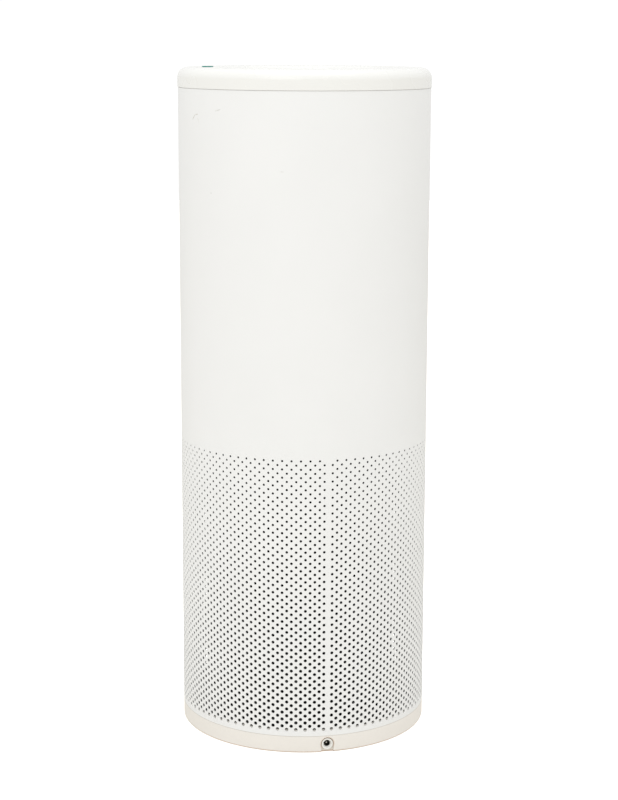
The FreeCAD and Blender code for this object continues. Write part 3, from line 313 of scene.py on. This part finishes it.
# painted shade: the jack sleeve's metal is given a near-black tone that stands in for the shade inside the
# bore
SHADED_SLEEVE = coated("jack_sleeve_metal", (0.10, 0.095, 0.09), (0.16, 0.15, 0.14), rough=(0.3, 0.45), bump=0.02,
                Metallic=1.0)
STEEL = coated("zinc_steel", (0.48, 0.48, 0.47), (0.60, 0.60, 0.58), rough=(0.25, 0.42), grain=1200.0,
               bump=0.06, Metallic=1.0)
MAGNET = coated("magnet", (0.30, 0.30, 0.31), (0.38, 0.38, 0.39), rough=(0.3, 0.4), Metallic=0.9)
COPPER = coated("enamelled_copper", (0.55, 0.20, 0.08), (0.68, 0.28, 0.12), rough=(0.3, 0.4),
                grain=2500.0, bump=0.3, Metallic=0.8)
RUBBER = coated("grey_rubber", (0.03, 0.03, 0.03), (0.045, 0.045, 0.045), rough=(0.7, 0.85), bump=0.15)
BOARD = coated("circuit_board", (0.01, 0.11, 0.05), (0.015, 0.14, 0.065), rough=(0.3, 0.4), bump=0.05)
PAPER = coated("filter_paper", (0.66, 0.68, 0.64), (0.78, 0.79, 0.75), rough=(0.9, 0.95), grain=2600.0,
               bump=0.5, cloud=60.0)
CARBON = coated("carbon_cloth", (0.008, 0.008, 0.008), (0.03, 0.03, 0.03), rough=(0.8, 0.95),
                grain=700.0, bump=0.9, cloud=600.0)
NYLON = coated("nylon_mesh", (0.012, 0.012, 0.013), (0.03, 0.03, 0.032), rough=(0.6, 0.75),
               grain=1400.0, bump=0.8, cloud=900.0)
FOAM = coated("black_foam", (0.015, 0.015, 0.015), (0.03, 0.03, 0.03), rough=(0.9, 1.0), grain=1600.0,
              bump=0.9)
CABLE = coated("black_cable", (0.01, 0.01, 0.01), (0.02, 0.02, 0.02), rough=(0.4, 0.5), bump=0.05)
LENS = coated("frosted_lens", (0.80, 0.86, 0.85), (0.86, 0.90, 0.89), rough=(0.3, 0.4), bump=0.02,
              Transmission_Weight=0.3)

SLOT_MATERIAL = {
    "white_sheet": PAINT, "white_cap": CAP_WHITE, "warm_white": BASE_WHITE, "teal": TEAL,
    "black_plastic": BLACK, "grey_plastic": GREY, "jack_white": JACK_WHITE, "nickel": NICKEL,
    "steel": STEEL, "magnet": MAGNET, "copper": COPPER, "rubber_grey": RUBBER,
    "circuit_board": BOARD, "filter_paper": PAPER, "carbon_cloth": CARBON, "mesh_cloth": NYLON,
    "foam": FOAM, "lead_black": CABLE, "lens_clear": LENS,
}
OWN_MATERIAL = {"base_ring": BASE_MOULDING, "jack_sleeve": SHADED_SLEEVE}
NODE_SLOT = {entry["node"]: entry["material_slot"] for entry in frame["record"]["subparts"]}
NODE_BODY = {node: body for body, nodes in frame["record"]["behaviour"]["bodies"].items()
             for node in nodes}


# ---- Making pieces -----------------------------------------------------------------------
def finished(bm, name, node, smooth=30.0):
    """Turns a bmesh into a piece that rides with a CAD node, takes its slot and stands for it."""
    mesh = bpy.data.meshes.new(name)
    bm.to_mesh(mesh)
    bm.free()
    mesh.materials.append(OWN_MATERIAL.get(node) or SLOT_MATERIAL[NODE_SLOT[node]])
    piece = bpy.data.objects.new(name, mesh)
    bpy.context.scene.collection.objects.link(piece)
    mesh.shade_smooth()
    mesh.set_sharp_from_angle(angle=math.radians(smooth))
    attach(piece, NODE_BODY[node])
    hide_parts(node)
    return piece


def walled(bm, radius, wall):
    """Gives a rolled sheet its wall, inward from its outside radius."""
    inner = bmesh.ops.extrude_face_region(bm, geom=bm.faces[:], use_keep_orig=True)["geom"]
    inner_verts = [item for item in inner if isinstance(item, bmesh.types.BMVert)]
    shrink = (radius - wall) / radius
    bmesh.ops.scale(bm, vec=(shrink, shrink, 1), verts=inner_verts)
    bmesh.ops.recalc_face_normals(bm, faces=bm.faces)


# ---- Perforated sheet --------------------------------------------------------------------
def pitch_strip(offset):
    """One column of the sheet, still flat: x across, z up. `offset` lifts it by half a row."""
    bm = bmesh.new()
    half = COLUMN_PITCH * BODY_R / 2
    for index in range(HOLE_ROWS):
        row = index + offset
        low, middle, high = row_z(row - 0.5), row_z(row), row_z(row + 0.5)
        hole = bmesh.ops.create_circle(bm, segments=HOLE_SIDES, radius=hole_radius(row),
                                       matrix=Matrix.Translation((0, 0, middle))
                                       @ Matrix.Rotation(math.pi / 2, 4, "X"))["verts"]
        rim = [bm.verts.new((x, 0, z)) for x, z in (
            (-half, low), (0, low), (half, low), (half, middle),
            (half, high), (0, high), (-half, high), (-half, middle))]
        frame_edges = [bm.edges.new((rim[k - 1], rim[k])) for k in range(8)]
        hole_edges = list({edge for vert in hole for edge in vert.link_edges})
        bmesh.ops.bridge_loops(bm, edges=frame_edges + hole_edges)
    first, last = row_z(offset - 0.5), row_z(HOLE_ROWS - 1 + offset + 0.5)
    bottom = [(-half, SHEET_LOW), (half, SHEET_LOW)]
    top = [(half, SHEET_HIGH), (-half, SHEET_HIGH)]
    if offset:
        bottom += [(half, row_z(-0.5)), (half, first), (0, first), (-half, first), (-half, row_z(-0.5))]
        top += [(-half, last), (0, last), (half, last)]
    else:
        above = row_z(HOLE_ROWS)
        bottom += [(half, first), (0, first), (-half, first)]
        top += [(-half, above), (-half, last), (0, last), (half, last), (half, above)]
    for loop in (bottom, top):
        bm.faces.new([bm.verts.new((x, 0, z)) for x, z in loop])
    bmesh.ops.remove_doubles(bm, verts=bm.verts, dist=1e-6)
    return bm


def wrap(bm, verts, angle):
    """Bends flat strip vertices onto the body's cylinder, centred on an angle."""
    for vert in verts:
        turn = angle + vert.co.x / BODY_R
        vert.co = Vector((BODY_R * math.cos(turn), BODY_R * math.sin(turn), vert.co.z))


def blank_strip():
    bm = bmesh.new()
    half = (SEAM_GAP_PITCHES - 1) * COLUMN_PITCH * BODY_R / 2
    heights = [SHEET_LOW, row_z(-0.5)]
    heights += [row_z(step / 2) for step in range(2 * HOLE_ROWS)]
    heights += [SHEET_HIGH]
    loop = [(half, z) for z in heights] + [(-half, z) for z in reversed(heights)]
    bm.faces.new([bm.verts.new((x, 0, z)) for x, z in loop])
    return bm


def sheet_sector(sector):
    strips = []
    for offset in (0.0, 0.5):
        mesh = bpy.data.meshes.new("strip")
        strip = pitch_strip(offset)
        strip.to_mesh(mesh)
        strip.free()
        strips.append(mesh)
    per = HOLE_COLUMNS // SHEET_SECTORS
    first = SEAM + SEAM_GAP_PITCHES * COLUMN_PITCH / 2
    bm = bmesh.new()
    for column in range(sector * per, (sector + 1) * per):
        start = len(bm.verts)
        bm.from_mesh(strips[column % 2])
        bm.verts.ensure_lookup_table()
        wrap(bm, bm.verts[start:], first + column * COLUMN_PITCH)
    if sector == 0:
        mesh = bpy.data.meshes.new("strip")
        strip = blank_strip()
        strip.to_mesh(mesh)
        strip.free()
        start = len(bm.verts)
        bm.from_mesh(mesh)
        bm.verts.ensure_lookup_table()
        wrap(bm, bm.verts[start:], SEAM)
    bmesh.ops.remove_doubles(bm, verts=bm.verts, dist=2e-6)
    bmesh.ops.recalc_face_normals(bm, faces=bm.faces)
    walled(bm, BODY_R, SHEET_T)
    return bm


def radial_normals(piece):
    """Keeps the rolled faces smooth right up to the joins between sectors."""
    mesh = piece.data
    normals = []
    for polygon in mesh.polygons:
        centre = polygon.center
        outward = Vector((centre.x, centre.y, 0)).normalized()
        facing = polygon.normal.dot(outward)
        rolled = abs(facing) > 0.9
        for index in polygon.loop_indices:
            spot = mesh.vertices[mesh.loops[index].vertex_index].co
            radial = Vector((spot.x, spot.y, 0)).normalized() * (1 if facing > 0 else -1)
            normals.append(radial if rolled else polygon.normal)
    mesh.normals_split_custom_set(normals)


def make_sheet():
    for sector in range(SHEET_SECTORS):
        piece = finished(sheet_sector(sector), f"body_sheet_{sector + 1}", "body_shell")
        radial_normals(piece)


# ---- Slotted core of the filter ------------------------------------------------------------
def make_filter_core():
    """Tube of bars: a flat grid with its slots taken out, rolled up and given its wall."""
    across = CORE_COLUMNS * CORE_STEPS
    up = 2 * CORE_LEVELS + 1
    bm = bmesh.new()
    bmesh.ops.create_grid(bm, x_segments=across, y_segments=up, size=1.0)
    slot = (CORE_HIGH - CORE_LOW - (CORE_LEVELS + 1) * CORE_BAR) / CORE_LEVELS
    open_faces = []
    for face in bm.faces:
        centre = face.calc_center_median()
        step = int((centre.x + 1) / 2 * across) % CORE_STEPS
        level = int((centre.y + 1) / 2 * up)
        if step < CORE_OPEN and level % 2:
            open_faces.append(face)
    bmesh.ops.delete(bm, geom=open_faces, context="FACES")
    for vert in bm.verts:
        turn = math.pi * vert.co.x
        line = round((vert.co.y + 1) / 2 * up)
        height = CORE_LOW + (line + 1) // 2 * CORE_BAR + line // 2 * slot
        vert.co = Vector((CORE_R * math.cos(turn), CORE_R * math.sin(turn), height))
    bmesh.ops.remove_doubles(bm, verts=bm.verts, dist=1e-6)
    bmesh.ops.recalc_face_normals(bm, faces=bm.faces)
    walled(bm, CORE_R, CORE_WALL)
    finished(bm, "filter_core_bars", "filter_core")


# ---- Interior and hardware: smooth copies of the CAD solids ---------------------------------
def refined(node):
    """Merged, smooth-shaded copy of a CAD node's mesh, in the node's own place."""
    source = frame["nodes"][node]
    bm = bmesh.new()
    bm.from_mesh(source.data)
    bm.transform(source.matrix_world)
    bmesh.ops.remove_doubles(bm, verts=bm.verts, dist=2e-6)
    return finished(bm, node + "_finish", node, smooth=28.0)


def rounded_normals(piece, rounds):
    """Shades turned faces by their true round-overs, each given as (radius, height, size)."""
    mesh = piece.data
    normals = []
    for polygon in mesh.polygons:
        for index in polygon.loop_indices:
            spot = mesh.vertices[mesh.loops[index].vertex_index].co
            radius = math.hypot(spot.x, spot.y)
            outward = Vector((spot.x / radius, spot.y / radius, 0))
            choices = [outward, -outward]
            for centre_r, centre_z, size in rounds:
                away = Vector((radius - centre_r, spot.z - centre_z))
                if abs(away.length - size) < 0.05 * MM:
                    away.normalize()
                    choices.append(outward * away.x + Vector((0, 0, away.y)))
            best = max(choices, key=polygon.normal.dot)
            normals.append(best if polygon.normal.dot(best) > 0.95 else polygon.normal)
    mesh.normals_split_custom_set(normals)


CORNER = (CAP_R - CAP_CORNER_R, CAP_HIGH - CAP_CORNER_R, CAP_CORNER_R)
RIM_CREST = (RIM_CREST_R, CAP_HIGH - RIM_INNER_R, RIM_INNER_R)
BASE_FOOT = (BODY_R - BASE_EDGE_R, BASE_LOW + BASE_EDGE_R, BASE_EDGE_R)
ROUNDED = {"top_cap": [CORNER], "outlet_rim": [RIM_CREST], "base_ring": [BASE_FOOT]}

make_sheet()
make_filter_core()
OWN_SHAPE = {"body_shell", "filter_core"}
for part in NODE_SLOT:
    if part not in OWN_SHAPE:
        copy = refined(part)
        if part in ROUNDED:
            rounded_normals(copy, ROUNDED[part])


# ---- Floor, light, camera ------------------------------------------------------------------
SKY_LIGHT = 0.86
FLOOR_TONE = (0.86, 0.838, 0.775)


def plain(name, colour, rough):
    return coated(name, colour, colour, rough=(rough, rough), bump=0.0)


def make_stage():
    bm = bmesh.new()
    bmesh.ops.create_circle(bm, cap_ends=True, segments=64, radius=6.0)
    mesh = bpy.data.meshes.new("floor")
    bm.to_mesh(mesh)
    bm.free()
    white = plain("floor_white", FLOOR_TONE, 0.6)
    surface = white.node_tree.nodes["Principled BSDF"]
    surface.inputs["Emission Color"].default_value = (1.0, 1.0, 1.0, 1)
    seen = white.node_tree.nodes.new("ShaderNodeLightPath")
    white.node_tree.links.new(seen.outputs["Is Camera Ray"], surface.inputs["Emission Strength"])
    mesh.materials.append(white)
    floor = bpy.data.objects.new("floor", mesh)
    bpy.context.scene.collection.objects.link(floor)
    world = bpy.data.worlds.new("studio")
    bpy.context.scene.world = world
    world.use_nodes = True
    tree = world.node_tree
    sky = tree.nodes["Background"]
    sky.inputs["Color"].default_value = (1.0, 1.0, 0.99, 1)
    sky.inputs["Strength"].default_value = SKY_LIGHT
    backdrop = add(tree, "ShaderNodeBackground", Color=(1.0, 1.0, 1.0, 1), Strength=1.05)
    seen = tree.nodes.new("ShaderNodeLightPath")
    either = tree.nodes.new("ShaderNodeMixShader")
    tree.links.new(seen.outputs["Is Camera Ray"], either.inputs[0])
    tree.links.new(sky.outputs[0], either.inputs[1])
    tree.links.new(backdrop.outputs[0], either.inputs[2])
    tree.links.new(either.outputs[0], tree.nodes["World Output"].inputs["Surface"])


def area_light(name, place, target, size, power, colour=(1, 1, 1)):
    data = bpy.data.lights.new(name, "AREA")
    data.shape = "RECTANGLE"
    data.size, data.size_y = size
    data.energy = power
    data.color = colour
    lamp = bpy.data.objects.new(name, data)
    bpy.context.scene.collection.objects.link(lamp)
    lamp.location = place
    lamp.rotation_euler = (Vector(target) - Vector(place)).to_track_quat("-Z", "Y").to_euler()
    return lamp


def make_camera():
    data = bpy.data.cameras.new("camera")
    data.lens = 84.95
    data.sensor_width = 36.0
    data.shift_x = -0.0112
    camera = bpy.data.objects.new("camera", data)
    bpy.context.scene.collection.objects.link(camera)
    camera.location = (-0.3595, -1.8253, 0.6907)
    camera.rotation_euler = [math.radians(turn) for turn in (78.929, -0.218, -11.536)]
    bpy.context.scene.camera = camera


make_stage()
area_light("front_softbox", (-1.3, -2.3, 1.7), (0, 0, 0.45), (1.4, 1.6), 9.8, (1.0, 1.0, 0.99))
area_light("top_softbox", (0.0, -0.4, 2.3), (0, 0, 0.5), (1.8, 1.8), 9.0)
make_camera()
bpy.context.scene.view_settings.view_transform = "Standard"
